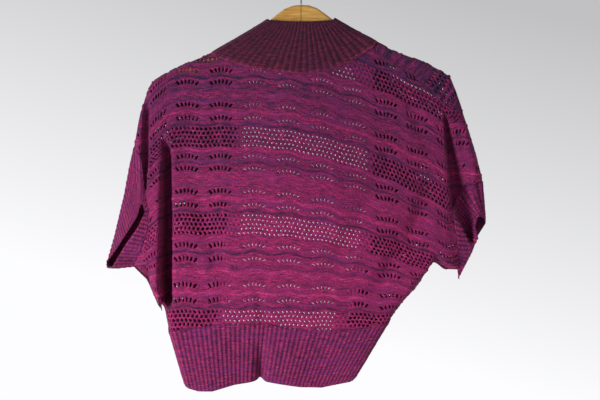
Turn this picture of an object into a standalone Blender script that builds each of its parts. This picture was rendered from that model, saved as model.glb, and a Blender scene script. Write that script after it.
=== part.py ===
"""Cropped lace cardigan with short grown-on sleeves, hung on a wooden hanger.

Metres, +Z up. The origin is the inside top of the hanger's hook, where the object hangs.
The garment's back faces -Y, its open front faces +Y, and +X is its right as seen from the back.
"""

import math

import bmesh
import bpy
import numpy as np

# Driving sizes
WALL = 0.0018
RIB_RELIEF = 0.0009
RIB_STEEPNESS = 0.35
SEAM_GAP = 0.0006
BAR_CLEARANCE = 0.0008
RIB_PITCH = 0.0064
COLLAR_PITCH = 0.0075
SEAM = 0.0003
EDGE_OFFSET = WALL + SEAM / 2.0
HANGER_HALF_THICKNESS = 0.006
HANGER_REACH = 0.204
HANGER_TILT = 0.020
SHOULDER_LIFT = 0.0027
SHOULDER_RADIUS = HANGER_HALF_THICKNESS + SHOULDER_LIFT
HOOK_WIRE_RADIUS = 0.00175
HOOK_RADIUS = 0.022
NECK_LEFT_X = -0.1376
NECK_RIGHT_X = 0.1170
NECK_LOW_Z = -0.1751
FRONT_WAIST_Z = -0.550
FRONT_HEM_Z = -0.634
COLLAR_TOP_Z = -0.0945
COLLAR_HALF_TOP = 0.050
SIDE_ROUND = 0.014
HEM_DEPTH_SHARE = 0.85
HEM_NOTCH_X = -0.0605
HEM_NOTCH_HALF_WIDTH = 0.006
HEM_NOTCH_DEPTH = 0.010
WING_START_X = 0.208
WING_SOFT_WIDTH = 0.040
WING_FLATTENING = 0.35
COLLAR_SAG = 0.003
BAND_END_SHARE = 1.22
EDGE_TOLERANCE = 0.0005
SHARP_ANGLE = 40.0
HOOK_STEM = 0.016
HOOK_START_ANGLE = -50.0
HOOK_END_ANGLE = 195.0

# Colours, sRGB
LACE_COLOUR = (0.62, 0.18, 0.40)
RIB_COLOUR = (0.50, 0.14, 0.32)
COLLAR_COLOUR = (0.42, 0.10, 0.27)
KNIT_ROUGHNESS = 0.9

# Top edge of the hanger: distance from its middle, height
HANGER_TOP = [(0.000, -0.0700), (0.012, -0.0712), (0.024, -0.0755), (0.036, -0.0840),
              (0.046, -0.0920), (0.080, -0.1120), (0.1376, -0.1443), (0.172, -0.1576),
              (0.192, -0.1665), (0.208, -0.1750), (0.224, -0.1855)]
# Height of the bar: distance from its middle, height of its section
HANGER_DEEP = [(0.000, 0.030), (0.040, 0.026), (0.100, 0.022), (0.190, 0.018), (0.198, 0.015),
               (HANGER_REACH, 0.010)]

# How far the cloth stands out from the hanger: distance below the shoulder line, extra depth
BODY_DEPTH = [(0.000, 0.000), (0.0084, 0.000), (0.107, 0.007), (0.200, 0.022), (0.300, 0.033),
              (0.450, 0.034)]

# Waist seam: x, z
WAIST_SEAM = [(-0.1968, -0.5554), (-0.111, -0.5436), (-0.0488, -0.5436), (-0.0015, -0.5525),
              (0.0725, -0.5525), (0.1100, -0.5470), (0.1317, -0.5415)]
# Hem of the waistband: x, z
HEM = [(-0.173, -0.637), (-0.150, -0.643), (-0.130, -0.643), (-0.098, -0.634), (-0.066, -0.629),
       (-0.0605, -0.625), (-0.052, -0.629), (-0.0015, -0.637), (0.030, -0.638), (0.080, -0.627)]

# Side edges of the panels, top to bottom: share of the way down, x, z, y, x where the wing starts
BACK_LEFT = [(0.00, -0.2235, -0.1873, 0.000, -0.1835), (0.06, -0.2309, -0.2032, 0.000, -0.1835),
             (0.16, -0.2412, -0.2343, 0.000, -0.1835), (0.28, -0.2501, -0.2831, 0.000, -0.1835),
             (0.33, -0.2383, -0.2994, -0.012, -0.1835), (0.42, -0.2338, -0.3453, -0.014, -0.1835),
             (0.48, -0.2250, -0.3808, -0.022, -0.1835), (0.54, -0.2264, -0.4074, -0.026, -0.1835),
             (0.60, -0.2353, -0.4341, -0.024, -0.1835), (0.66, -0.2501, -0.4617, 0.000, -0.1835),
             (0.69, -0.2390, -0.4612, 0.000, -0.1835), (0.73, -0.2279, -0.4600, 0.000, -0.1835),
             (0.78, -0.2279, -0.4740, 0.000, -0.1835), (0.84, -0.2205, -0.5022, 0.000, -0.1840),
             (0.90, -0.2042, -0.5184, 0.000, -0.1850), (1.00, -0.1968, -0.5554, 0.000, -0.1850)]
BACK_RIGHT = [(0.00, 0.2235, -0.1784, 0.000, 0.206), (0.05, 0.2324, -0.2002, 0.000, 0.206),
              (0.16, 0.2457, -0.2417, 0.000, 0.214), (0.28, 0.2605, -0.2890, 0.000, 0.217),
              (0.38, 0.2723, -0.3349, 0.000, 0.218), (0.42, 0.2472, -0.3408, -0.006, 0.218),
              (0.46, 0.2353, -0.3586, 0.002, 0.216), (0.50, 0.2235, -0.3793, -0.022, 0.206),
              (0.55, 0.2279, -0.4148, -0.028, 0.206), (0.60, 0.2324, -0.4400, -0.026, 0.204),
              (0.66, 0.2353, -0.4660, 0.000, 0.200), (0.69, 0.2146, -0.4655, 0.000, 0.188),
              (0.73, 0.1975, -0.4520, 0.000, 0.176), (0.79, 0.1850, -0.4720, 0.000, 0.164),
              (0.86, 0.1702, -0.4933, 0.000, 0.149), (0.93, 0.1524, -0.5125, 0.000, 0.135),
              (1.00, 0.1317, -0.5415, 0.000, 0.114)]
FRONT_LEFT = [(0.00, -0.2235, -0.1873, 0.000), (0.06, -0.2309, -0.2032, 0.000),
              (0.16, -0.2412, -0.2343, 0.000), (0.28, -0.2501, -0.2831, 0.000),
              (0.33, -0.2575, -0.3112, 0.004), (0.42, -0.2664, -0.3556, 0.008),
              (0.54, -0.2812, -0.4163, 0.012), (0.60, -0.2915, -0.4548, 0.012),
              (0.635, -0.2797, -0.4652, 0.006), (0.66, -0.2501, -0.4617, 0.000),
              (0.69, -0.2390, -0.4612, 0.000), (0.73, -0.2279, -0.4600, 0.000),
              (0.78, -0.2279, -0.4740, 0.000), (0.84, -0.2205, -0.5022, 0.000),
              (0.90, -0.2042, -0.5184, 0.000), (1.00, -0.1968, -0.5554, 0.000)]
FRONT_RIGHT = [(0.00, 0.2235, -0.1784, 0.000), (0.05, 0.2324, -0.2002, 0.000),
               (0.16, 0.2457, -0.2417, 0.000), (0.28, 0.2605, -0.2890, 0.000),
               (0.38, 0.2723, -0.3349, 0.000), (0.44, 0.2694, -0.3556, 0.006),
               (0.52, 0.2620, -0.3852, 0.012), (0.59, 0.2516, -0.4222, 0.012),
               (0.64, 0.2398, -0.4518, 0.003), (0.66, 0.2353, -0.4660, 0.000),
               (0.69, 0.2146, -0.4655, 0.000), (0.73, 0.1975, -0.4520, 0.000),
               (0.79, 0.1850, -0.4720, 0.000), (0.86, 0.1702, -0.4933, 0.000),
               (0.93, 0.1524, -0.5125, 0.000), (1.00, 0.1317, -0.5415, 0.000)]

# Front band: share of the way down, x of its seam, x of its free edge
BAND_LEFT = [(0.00, -0.1376, -0.050), (0.10, -0.150, -0.072), (0.22, -0.165, -0.086),
             (0.35, -0.172, -0.090), (0.60, -0.172, -0.090), (0.85, -0.178, -0.110),
             (1.00, -0.182, -0.122), (BAND_END_SHARE, -0.1606, -0.104)]
BAND_RIGHT = [(0.00, 0.1170, 0.050), (0.10, 0.136, 0.072), (0.22, 0.162, 0.096),
              (0.35, 0.178, 0.102), (0.60, 0.174, 0.102), (0.78, 0.150, 0.084),
              (1.00, 0.116, 0.052), (BAND_END_SHARE, 0.0640, 0.010)]

# Free rims of the cuffs, by the place on the seam: layer, share of the way down, x, z, y
CUFF_LEFT = [("back", 0.28, -0.2412, -0.3808, -0.018), ("back", 0.33, -0.2383, -0.3705, -0.020),
             ("back", 0.42, -0.2338, -0.3690, -0.022), ("back", 0.48, -0.2301, -0.3808, -0.026),
             ("back", 0.54, -0.2398, -0.4030, -0.031), ("back", 0.60, -0.2590, -0.4297, -0.029),
             ("back", 0.66, -0.2797, -0.4625, -0.019), ("front", 0.635, -0.2890, -0.4640, -0.012),
             ("front", 0.60, -0.2910, -0.4560, -0.003), ("front", 0.54, -0.2726, -0.4320, -0.010),
             ("front", 0.42, -0.2500, -0.3980, -0.014), ("front", 0.33, -0.2440, -0.3880, -0.016)]
CUFF_RIGHT = [("back", 0.38, 0.2753, -0.3912, -0.005), ("back", 0.42, 0.2680, -0.3872, -0.010),
              ("back", 0.46, 0.2610, -0.3882, -0.012), ("back", 0.50, 0.2580, -0.4030, -0.018),
              ("back", 0.55, 0.2605, -0.4193, -0.022), ("back", 0.60, 0.2531, -0.4400, -0.021),
              ("back", 0.66, 0.2353, -0.4814, -0.004), ("front", 0.64, 0.2440, -0.4640, 0.006),
              ("front", 0.59, 0.2570, -0.4350, 0.013), ("front", 0.52, 0.2690, -0.4150, 0.014),
              ("front", 0.44, 0.2782, -0.3986, 0.008)]
CUFF_SPAN = {"left": (0.28, 0.66), "right": (0.38, 0.66)}

# Folds of the back: top x, top z, bottom x, bottom z, half width, share of the body's depth, soft end
BACK_FOLDS = [(-0.2040, -0.262, -0.2000, -0.508, 0.0110, 0.85, 0.050),
              (-0.2290, -0.225, -0.2350, -0.300, 0.0055, 0.70, 0.020),
              (0.2230, -0.235, 0.2360, -0.372, 0.0110, 0.90, 0.030),
              (-0.1700, -0.300, -0.1100, -0.500, 0.0150, 0.12, 0.060),
              (0.1900, -0.360, 0.1000, -0.520, 0.0140, 0.20, 0.060),
              (0.1300, -0.300, 0.0300, -0.500, 0.0160, 0.12, 0.080)]

# Grid steps
BACK_WING_STEPS = 10
FRONT_STEPS = 11
BAND_LOW_STEPS = 4
SHOULDER_ROWS = 5
BODY_SHARES = np.concatenate([np.linspace(0.0, 0.118, 3, endpoint=False),
                              [0.118, 0.1195, 0.1225, 0.129, 0.145],
                              np.linspace(0.180, 0.710, 13),
                              [0.742, 0.758, 0.7655, 0.7690, 0.772],
                              np.linspace(0.772, 1.0, 7)[1:-1]])
ROW_SHARES = [0.0, 0.004, 0.011, 0.022, 0.060, 0.110, 0.160, 0.220, 0.280, 0.330, 0.380, 0.420,
              0.460, 0.500, 0.540, 0.600, 0.660, 0.690, 0.730, 0.780, 0.840, 0.900, 0.950, 1.0]


def column(table, index):
    """One column of a table."""
    return [row[index] for row in table]


def hanger_top(x):
    """Height of the bar's top edge at x, with the slight tilt that it hangs at."""
    return np.interp(np.abs(x), column(HANGER_TOP, 0), column(HANGER_TOP, 1)) + HANGER_TILT * x


def shoulder_line(x):
    """Height of the cloth's outer face where it lies on the hanger."""
    return hanger_top(x) + SHOULDER_LIFT


def quarter_round(share):
    """Rises from 0 to 1 along a quarter of a circle."""
    kept = np.clip(share, 0.0, 1.0)
    return np.sqrt(1.0 - (1.0 - kept) ** 2)


def soft_step(share):
    """Rises from 0 to 1 with level ends."""
    kept = np.clip(share, 0.0, 1.0)
    return kept * kept * (3.0 - 2.0 * kept)


def body_depth(x, z):
    """Distance of the cloth from the plane of the hanger: round over the bar, then fuller below."""
    below = shoulder_line(x) - z
    return SHOULDER_RADIUS * quarter_round(below / SHOULDER_RADIUS) + np.interp(
        below, column(BODY_DEPTH, 0), column(BODY_DEPTH, 1))


def wing_depth(x, z):
    """The same distance, smaller beyond the hanger's ends, where the sleeves hang flatter."""
    flatter = WING_FLATTENING * soft_step((np.abs(x) - WING_START_X) / WING_SOFT_WIDTH)
    return body_depth(x, z) * (1.0 - flatter)


def neck_line(x):
    """Height of the back neck seam: a parabola for each half."""
    left_rise = (shoulder_line(NECK_LEFT_X) - NECK_LOW_Z) * (x / NECK_LEFT_X) ** 2
    right_rise = (shoulder_line(NECK_RIGHT_X) - NECK_LOW_Z) * (x / NECK_RIGHT_X) ** 2
    return NECK_LOW_Z + np.where(x < 0.0, left_rise, right_rise)


def back_top(x):
    """Top edge of the back: the shoulders on the hanger and the neck seam between them."""
    in_neck = (x > NECK_LEFT_X) & (x < NECK_RIGHT_X)
    return np.where(in_neck, neck_line(x), shoulder_line(x))


def fold_share(x, z, folds):
    """Share of the depth that the folds take: each a soft trough along a line, fading at its ends."""
    push = np.zeros_like(x)
    for top_x, top_z, low_x, low_z, half_width, depth, soft in folds:
        middle = np.interp(-z, [-top_z, -low_z], [top_x, low_x])
        window = soft_step((top_z + soft - z) / soft) * soft_step((z - low_z) / soft)
        push = push + depth * window * np.exp(-((x - middle) / half_width) ** 2)
    return push


def unit(vectors):
    """Vectors of length one."""
    return vectors / np.maximum(np.linalg.norm(vectors, axis=-1, keepdims=True), 1e-12)


def grid_normals(grid, outward):
    """Normals of a grid of points, turned to the side that outward names."""
    across = np.gradient(grid, axis=1)
    down = np.gradient(grid, axis=0)
    return unit(np.cross(down, across)) * outward


def edge_values(table, share, last):
    """Columns 1 to last of an edge table at one share of the way down."""
    return [float(np.interp(share, column(table, 0), column(table, i))) for i in range(1, last)]


def mesh_object(name, points, faces, material):
    """A closed object from points and faces, its normals outward and its material set."""
    mesh = bpy.data.meshes.new(name)
    mesh.from_pydata([tuple(point) for point in points], [], faces)
    shell = bmesh.new()
    shell.from_mesh(mesh)
    bmesh.ops.recalc_face_normals(shell, faces=shell.faces)
    shell.to_mesh(mesh)
    shell.free()
    made = bpy.data.objects.new(name, mesh)
    bpy.context.collection.objects.link(made)
    mesh.materials.append(material)
    mesh.shade_smooth()
    mesh.set_sharp_from_angle(angle=math.radians(SHARP_ANGLE))
    return made


def cloth_wall(name, outer, inner, material, step=1, closed=False):
    """A closed wall between an outer grid and an inner one with a column for every step columns."""
    rows, fine = outer.shape[:2]
    coarse = inner.shape[1]
    start = rows * fine
    points = np.vstack([outer.reshape(-1, 3), inner.reshape(-1, 3)])
    faces = []

    def out(row, col):
        return row * fine + (col % fine if closed else col)

    def inn(row, col):
        return start + row * coarse + (col % coarse if closed else col)

    spans = coarse if closed else coarse - 1
    for row in range(rows - 1):
        for col in range(spans * step):
            faces.append((out(row, col), out(row + 1, col), out(row + 1, col + 1), out(row, col + 1)))
        for col in range(spans):
            faces.append((inn(row, col), inn(row, col + 1), inn(row + 1, col + 1), inn(row + 1, col)))
    for row, turned in ((0, False), (rows - 1, True)):
        for col in range(spans):
            middle = col * step + step // 2
            rim = [(out(row, i), out(row, i + 1), inn(row, col if i < middle else col + 1))
                   for i in range(col * step, (col + 1) * step)]
            rim.append((inn(row, col), out(row, middle), inn(row, col + 1)))
            faces.extend([tuple(reversed(face)) for face in rim] if turned else rim)
    if not closed:
        for row in range(rows - 1):
            faces.append((out(row, 0), inn(row, 0), inn(row + 1, 0), out(row + 1, 0)))
            faces.append((out(row, fine - 1), out(row + 1, fine - 1),
                          inn(row + 1, coarse - 1), inn(row, coarse - 1)))
    return mesh_object(name, points, faces, material)


def back_surface():
    """Outer and inner grids of the back, from its edge tables, depths and folds."""
    rows = []
    for share in ROW_SHARES:
        left_x, left_z, left_y, left_knee = edge_values(BACK_LEFT, share, 5)
        right_x, right_z, right_y, right_knee = edge_values(BACK_RIGHT, share, 5)
        x = np.concatenate([np.linspace(left_x, left_knee, BACK_WING_STEPS, endpoint=False),
                            left_knee + (right_knee - left_knee) * BODY_SHARES,
                            np.linspace(right_knee, right_x, BACK_WING_STEPS + 1)])
        waist = np.interp(x, column(WAIST_SEAM, 0), column(WAIST_SEAM, 1))
        z = back_top(x) * (1.0 - share) + waist * share
        left_part = np.clip((left_knee - x) / (left_knee - left_x), 0.0, 1.0) ** 2
        right_part = np.clip((x - right_knee) / (right_x - right_knee), 0.0, 1.0) ** 2
        z = z + (left_z - z[0]) * left_part + (right_z - z[-1]) * right_part
        full = -wing_depth(x, z) * (1.0 - fold_share(x, z, BACK_FOLDS)) - SEAM / 2.0
        y = left_y - EDGE_OFFSET + (full - left_y + EDGE_OFFSET) * quarter_round((x - left_x) / SIDE_ROUND)
        y = right_y - EDGE_OFFSET + (y - right_y + EDGE_OFFSET) * quarter_round((right_x - x) / SIDE_ROUND)
        rows.append(np.stack([x, np.minimum(y, full) if share == 0.0 else y, z], axis=1))
    grid = np.stack(rows)
    top_x = grid[0, :, 0]
    on_hanger = (top_x <= NECK_LEFT_X + EDGE_TOLERANCE) | (top_x >= NECK_RIGHT_X - EDGE_TOLERANCE)
    grid[0, on_hanger, 1] = -SEAM / 2.0
    normals = grid_normals(grid, 1.0)
    normals[0] = np.where(on_hanger[:, None], (0.0, 0.0, 1.0), (0.0, -1.0, 0.0))
    normals[1:, 0] = (0.0, -1.0, 0.0)
    normals[1:, -1] = (0.0, -1.0, 0.0)
    return grid, grid - WALL * normals


def front_surface(edges, band, side):
    """Outer and inner grids of a front, from its outer edge to its band's seam."""
    rows = []
    for share in ROW_SHARES:
        edge_x, edge_z, edge_y = edge_values(edges, share, 4)
        seam_x = float(np.interp(share, column(band, 0), column(band, 1)))
        part = np.linspace(0.0, 1.0, FRONT_STEPS + 1) ** 1.3
        x = edge_x + (seam_x - edge_x) * part
        z = shoulder_line(x) * (1.0 - share) + FRONT_WAIST_Z * share
        z = z + (edge_z - z[0]) * (1.0 - part) ** 3
        full = wing_depth(x, z) + SEAM / 2.0
        opened = quarter_round(np.abs(x - edge_x) / SIDE_ROUND)
        y = edge_y + EDGE_OFFSET + (full - edge_y - EDGE_OFFSET) * opened
        rows.append(np.stack([x, y, z], axis=1))
    grid = np.stack(rows)
    grid[0, :, 1] = SEAM / 2.0
    normals = grid_normals(grid, side)
    normals[0] = (0.0, 0.0, 1.0)
    normals[1:, 0] = (0.0, 1.0, 0.0)
    return grid, grid - WALL * normals


def resample(line, places):
    """Points of a polyline at shares of its length."""
    steps = np.linalg.norm(np.diff(line[:, :3], axis=0), axis=1)
    along = np.concatenate([[0.0], np.cumsum(steps)]) / np.sum(steps)
    return np.stack([np.interp(places, along, line[:, axis]) for axis in range(line.shape[1])], axis=1)


def seam_edge(outer, inner, neighbour):
    """Edge points, the direction from inner to outer face, and the direction away from the panel."""
    return np.hstack([outer, unit(outer - inner), unit(outer - neighbour)])


def ribbed_strip(name, seam, free, rows, pitch, material,
                 closed=False, depth_sign=0.0, step=4, on_bar=(), kept=0):
    """A ribbed strip from a seam line to a free line; seam holds points, normals and ways off the panel."""
    both = np.hstack([seam, free])
    if closed:
        both = np.vstack([both, both[:1]])
    length = np.sum(np.linalg.norm(np.diff(both[:, :3], axis=0), axis=1))
    ribs = 2 * max(2, round(length / pitch / 2.0))
    places = np.linspace(0.0, 1.0, 2 * ribs + 1)
    if kept:
        steps = np.linalg.norm(np.diff(both[:, :3], axis=0), axis=1)
        along = np.concatenate([[0.0], np.cumsum(steps)]) / length
        places = np.concatenate([along[:kept], np.linspace(along[kept - 1], 1.0, 2 * ribs + 1)[1:]])
    line = resample(both, places)
    normal, low = unit(line[:, 3:6]), line[:, 9:12]
    top = line[:, :3] + SEAM_GAP * unit(line[:, 6:9])
    shares = np.linspace(0.0, 1.0, rows + 1)[:, None, None]
    grid = top + (low - top) * shares
    if depth_sign:
        fitted = depth_sign * (body_depth(grid[..., 0], grid[..., 2]) + BAR_CLEARANCE)
        grid[1:, :, 1] = fitted[1:]
    measured = grid_normals(grid, 1.0)
    measured = measured * np.sign(np.sum(measured * normal, axis=2, keepdims=True) + 1e-9)
    normals = unit(normal * (1.0 - shares) + measured * shares)
    for col in on_bar:
        normals[1:, col] = (0.0, 0.0, 1.0)
    spacing = np.linalg.norm(np.gradient(grid, axis=1), axis=2)
    height = np.minimum(RIB_RELIEF, RIB_STEEPNESS * spacing)
    raised = height * (np.arange(len(places)) % 2) * (np.arange(len(places)) >= kept)
    outer = grid + normals * raised[..., None]
    inner = (grid - normals * WALL)[:, ::step]
    if closed:
        outer = outer[:, :-1]
        inner = inner[:, :-1]
    return cloth_wall(name, outer, inner, material, step=step, closed=closed)


def cuff(name, side, back, front, rims, material):
    """A ribbed cuff from the sleeve's seam loop, back layer then front layer, to its free rim."""
    low, high = CUFF_SPAN[side]
    back_column = 0 if side == "left" else -1
    outward = -1.0 if side == "left" else 1.0
    rows = [i for i, share in enumerate(ROW_SHARES) if low - 1e-6 <= share <= high + 1e-6]
    loop = []
    for layer, grids, col, order in (("back", back, back_column, rows), ("front", front, 0, rows[-2:0:-1])):
        own = [rim for rim in rims if rim[0] == layer or rim[1] in (low, high)]
        own = sorted(own, key=lambda rim: rim[1])
        outer, inner = grids[0][order, col], grids[1][order, col]
        away = unit(np.cross(np.gradient(outer, axis=0), (0.0, 1.0, 0.0)))
        away = away * np.sign(away @ np.array((outward, 0.0, -0.2)))[:, None]
        facing = unit(outer - inner)
        if layer == "front" and side == "left":
            outer = inner
            facing = np.tile((outward, 0.0, 0.0), (len(order), 1))
            away = np.tile((0.0, -1.0, 0.0), (len(order), 1))
        for i, row in enumerate(order):
            rim = [float(np.interp(ROW_SHARES[row], column(own, 1), column(own, axis)))
                   for axis in (2, 4, 3)]
            point = np.concatenate([outer[i], facing[i], away[i], rim])
            if row == rows[0]:
                clear = outward * (WALL + SEAM) if side == "right" else 0.0
                point[:9] = (point[0] + clear, 0.0, point[2], outward, 0.0, 0.0, 0.0, 0.0, -1.0)
            if row == rows[-1]:
                point[1:9] = (0.0, point[2], 0.0, 0.0, -1.0, outward, 0.0, 0.0)
            loop.append(point)
    loop = np.array(loop)
    return ribbed_strip(name, loop[:, :9], loop[:, 9:12], 2, RIB_PITCH, material, closed=True, step=2)


def collar(back, material):
    """The band round the back neck: from the neck seam up to its free edge behind the hanger's crown."""
    outer, inner = back
    top_x = outer[0, :, 0]
    inside = (top_x > NECK_LEFT_X + EDGE_TOLERANCE) & (top_x < NECK_RIGHT_X - EDGE_TOLERANCE)
    seam = seam_edge(outer[0][inside], inner[0][inside], outer[1][inside])
    share = np.linspace(0.0, 1.0, len(seam))
    free_x = -COLLAR_HALF_TOP + 2.0 * COLLAR_HALF_TOP * share
    free_z = np.minimum(COLLAR_TOP_Z - COLLAR_SAG * np.sin(math.pi * share), shoulder_line(free_x))
    free_y = -body_depth(free_x, free_z) - SEAM / 2.0
    free = np.stack([free_x, free_y, free_z], axis=1)
    return ribbed_strip("collar", seam, free, 3, COLLAR_PITCH, material,
                        depth_sign=-1.0, step=1, on_bar=(0, -1))


def front_band(name, table, front, material):
    """The band of one front: it carries on from the collar over the bar and down to the hem."""
    outer, inner = front
    seam = seam_edge(outer[:, -1], inner[:, -1], outer[:, -2])
    low_part = np.linspace(0.0, 1.0, BAND_LOW_STEPS + 1)[1:]
    low_shares = 1.0 + (BAND_END_SHARE - 1.0) * low_part
    low_x = np.interp(low_shares, column(table, 0), column(table, 1))
    low_z = FRONT_WAIST_Z + (FRONT_HEM_Z - FRONT_WAIST_Z) * low_part
    low_y = body_depth(low_x, low_z) * (1.0 - (1.0 - HEM_DEPTH_SHARE) * low_part)
    rest = np.tile(seam[-1], (BAND_LOW_STEPS, 1))
    rest[:, :3] = np.stack([low_x, low_y, low_z], axis=1)
    seam = np.vstack([seam, rest])
    shares = np.concatenate([ROW_SHARES, low_shares])
    free_x = np.interp(shares, column(table, 0), column(table, 2))
    kept = np.minimum(shares, 1.0)
    free_z = shoulder_line(free_x) * (1.0 - kept) + FRONT_WAIST_Z * kept
    below_waist = np.maximum(shares - 1.0, 0.0) / (BAND_END_SHARE - 1.0)
    free_z = free_z + (FRONT_HEM_Z - FRONT_WAIST_Z) * below_waist
    free = np.stack([free_x, body_depth(free_x, free_z) + SEAM / 2.0, free_z], axis=1)
    return ribbed_strip(name, seam, free, 2, COLLAR_PITCH, material,
                        depth_sign=1.0, step=1, on_bar=(0,), kept=SHOULDER_ROWS)


def waistband(back, front_left, front_right, material):
    """The ribbed waistband: from one front band round the back to the other, below the waist seam."""
    pieces = [seam_edge(grids[0][-1], grids[1][-1], grids[0][-2])
              for grids in (front_left, back, front_right)]
    seam = np.vstack([pieces[0][::-1], pieces[1][1:-1], pieces[2]])
    seam[0, 0] -= SEAM
    seam[-1, 0] += SEAM
    hem_x = np.interp(seam[:, 0], [WAIST_SEAM[0][0], WAIST_SEAM[-1][0]], [HEM[0][0], HEM[-1][0]])
    hem_z = np.interp(hem_x, column(HEM, 0), column(HEM, 1))
    hem_y = seam[:, 1] * HEM_DEPTH_SHARE
    notch = HEM_NOTCH_DEPTH * np.exp(-((hem_x - HEM_NOTCH_X) / HEM_NOTCH_HALF_WIDTH) ** 2)
    hem_y = np.where(seam[:, 1] < -EDGE_OFFSET, hem_y + notch, hem_y)
    hem = np.stack([hem_x, hem_y, hem_z], axis=1)
    return ribbed_strip("waistband", seam, hem, 3, RIB_PITCH, material)


def hanger_bar(material):
    """The wooden bar: a flat shaped bar with a round top edge, lofted through sections along it."""
    stations = sorted(set(column(HANGER_TOP, 0)[:-1] + column(HANGER_DEEP, 0)))
    stations = [x for x in stations if x <= HANGER_REACH]
    places = [-x for x in stations[:0:-1]] + stations
    ring = []
    for x in places:
        deep = float(np.interp(abs(x), column(HANGER_DEEP, 0), column(HANGER_DEEP, 1)))
        half = min(HANGER_HALF_THICKNESS, deep / 2.0)
        top = float(hanger_top(x))
        upper = [(half * math.cos(a), top - half + half * math.sin(a))
                 for a in np.linspace(0.0, math.pi, 9)]
        lower = [(-half * math.cos(a), top - deep + half - half * math.sin(a))
                 for a in np.linspace(0.0, math.pi, 7)]
        ring.append([(x, y, z) for y, z in upper + lower])
    size = len(ring[0])
    points = [point for section in ring for point in section]
    faces = [tuple(range(size)), tuple(range((len(ring) - 1) * size, len(ring) * size))]
    for i in range(len(ring) - 1):
        for k in range(size):
            after = (k + 1) % size
            faces.append((i * size + k, i * size + after, (i + 1) * size + after, (i + 1) * size + k))
    return mesh_object("hanger_bar", points, faces, material)


def hanger_hook(material):
    """The steel hook: a stem from the bar's crown, swung aside, then an arc that closes over the origin."""
    middle_z = HOOK_WIRE_RADIUS - HOOK_RADIUS
    foot_z = float(hanger_top(0.0)) + SEAM
    angles = np.radians(np.linspace(HOOK_START_ANGLE, HOOK_END_ANGLE, 22))
    arc = [(HOOK_RADIUS * math.cos(a), middle_z + HOOK_RADIUS * math.sin(a)) for a in angles]
    stem_top = foot_z + HOOK_STEM
    bend = [(arc[0][0] * share ** 1.5, stem_top + (arc[0][1] - stem_top) * share)
            for share in (0.0, 0.35, 0.7)]
    path = [(0.0, foot_z)] + bend + arc
    curve = bpy.data.curves.new("hanger_hook", "CURVE")
    curve.dimensions = "3D"
    curve.bevel_depth = HOOK_WIRE_RADIUS
    curve.bevel_resolution = 2
    curve.use_fill_caps = True
    spline = curve.splines.new("POLY")
    spline.points.add(len(path) - 1)
    for point, (x, z) in zip(spline.points, path):
        point.co = (x, 0.0, z, 1.0)
    made = bpy.data.objects.new("hanger_hook", curve)
    bpy.context.collection.objects.link(made)
    curve.materials.append(material)
    return made


def finish(name, colour, roughness, metallic=0.0):
    """A plain material from an sRGB colour."""
    made = bpy.data.materials.new(name)
    made.use_nodes = True
    shader = made.node_tree.nodes["Principled BSDF"]
    linear = [((c + 0.055) / 1.055) ** 2.4 if c > 0.04045 else c / 12.92 for c in colour]
    shader.inputs["Base Color"].default_value = (*linear, 1.0)
    shader.inputs["Roughness"].default_value = roughness
    shader.inputs["Metallic"].default_value = metallic
    return made


def main():
    for item in list(bpy.data.objects):
        bpy.data.objects.remove(item, do_unlink=True)
    back = back_surface()
    front_left = front_surface(FRONT_LEFT, BAND_LEFT, -1.0)
    front_right = front_surface(FRONT_RIGHT, BAND_RIGHT, 1.0)
    cloth_wall("back_panel", *back, finish("back_lace_knit", LACE_COLOUR, KNIT_ROUGHNESS))
    cloth_wall("front_left", *front_left, finish("left_lace_knit", LACE_COLOUR, KNIT_ROUGHNESS))
    cloth_wall("front_right", *front_right, finish("right_lace_knit", LACE_COLOUR, KNIT_ROUGHNESS))
    cuff("cuff_left", "left", back, front_left, CUFF_LEFT,
         finish("left_cuff_rib_knit", RIB_COLOUR, KNIT_ROUGHNESS))
    cuff("cuff_right", "right", back, front_right, CUFF_RIGHT,
         finish("right_cuff_rib_knit", RIB_COLOUR, KNIT_ROUGHNESS))
    collar(back, finish("collar_rib_knit", COLLAR_COLOUR, KNIT_ROUGHNESS))
    front_band("front_band_left", BAND_LEFT, front_left,
               finish("left_band_rib_knit", COLLAR_COLOUR, KNIT_ROUGHNESS))
    front_band("front_band_right", BAND_RIGHT, front_right,
               finish("right_band_rib_knit", COLLAR_COLOUR, KNIT_ROUGHNESS))
    waistband(back, front_left, front_right,
              finish("waist_rib_knit", RIB_COLOUR, KNIT_ROUGHNESS))
    hanger_bar(finish("beech_wood", (0.85, 0.62, 0.32), 0.45))
    hanger_hook(finish("steel_wire", (0.75, 0.76, 0.78), 0.3, 1.0))


main()
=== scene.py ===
"""Cropped lace cardigan hung on a wooden hanger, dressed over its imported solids.

Metres, +Z up. The camera looks along +Y at the garment's back, as the photograph does.
"""

import math

import bpy
import numpy as np
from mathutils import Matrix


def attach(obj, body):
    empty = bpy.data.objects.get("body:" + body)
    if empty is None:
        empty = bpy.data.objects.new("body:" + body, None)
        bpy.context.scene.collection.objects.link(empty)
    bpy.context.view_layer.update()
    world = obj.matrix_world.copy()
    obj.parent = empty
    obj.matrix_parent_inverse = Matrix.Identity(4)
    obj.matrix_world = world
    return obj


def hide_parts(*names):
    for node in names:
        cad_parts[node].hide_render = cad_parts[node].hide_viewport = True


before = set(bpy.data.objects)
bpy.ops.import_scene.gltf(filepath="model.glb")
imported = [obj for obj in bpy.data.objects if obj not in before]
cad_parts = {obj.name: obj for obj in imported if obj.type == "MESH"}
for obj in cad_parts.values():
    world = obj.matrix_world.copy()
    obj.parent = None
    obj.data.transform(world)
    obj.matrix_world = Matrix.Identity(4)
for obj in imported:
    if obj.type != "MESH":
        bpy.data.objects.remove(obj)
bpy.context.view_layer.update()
chance = np.random.default_rng(7)


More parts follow.
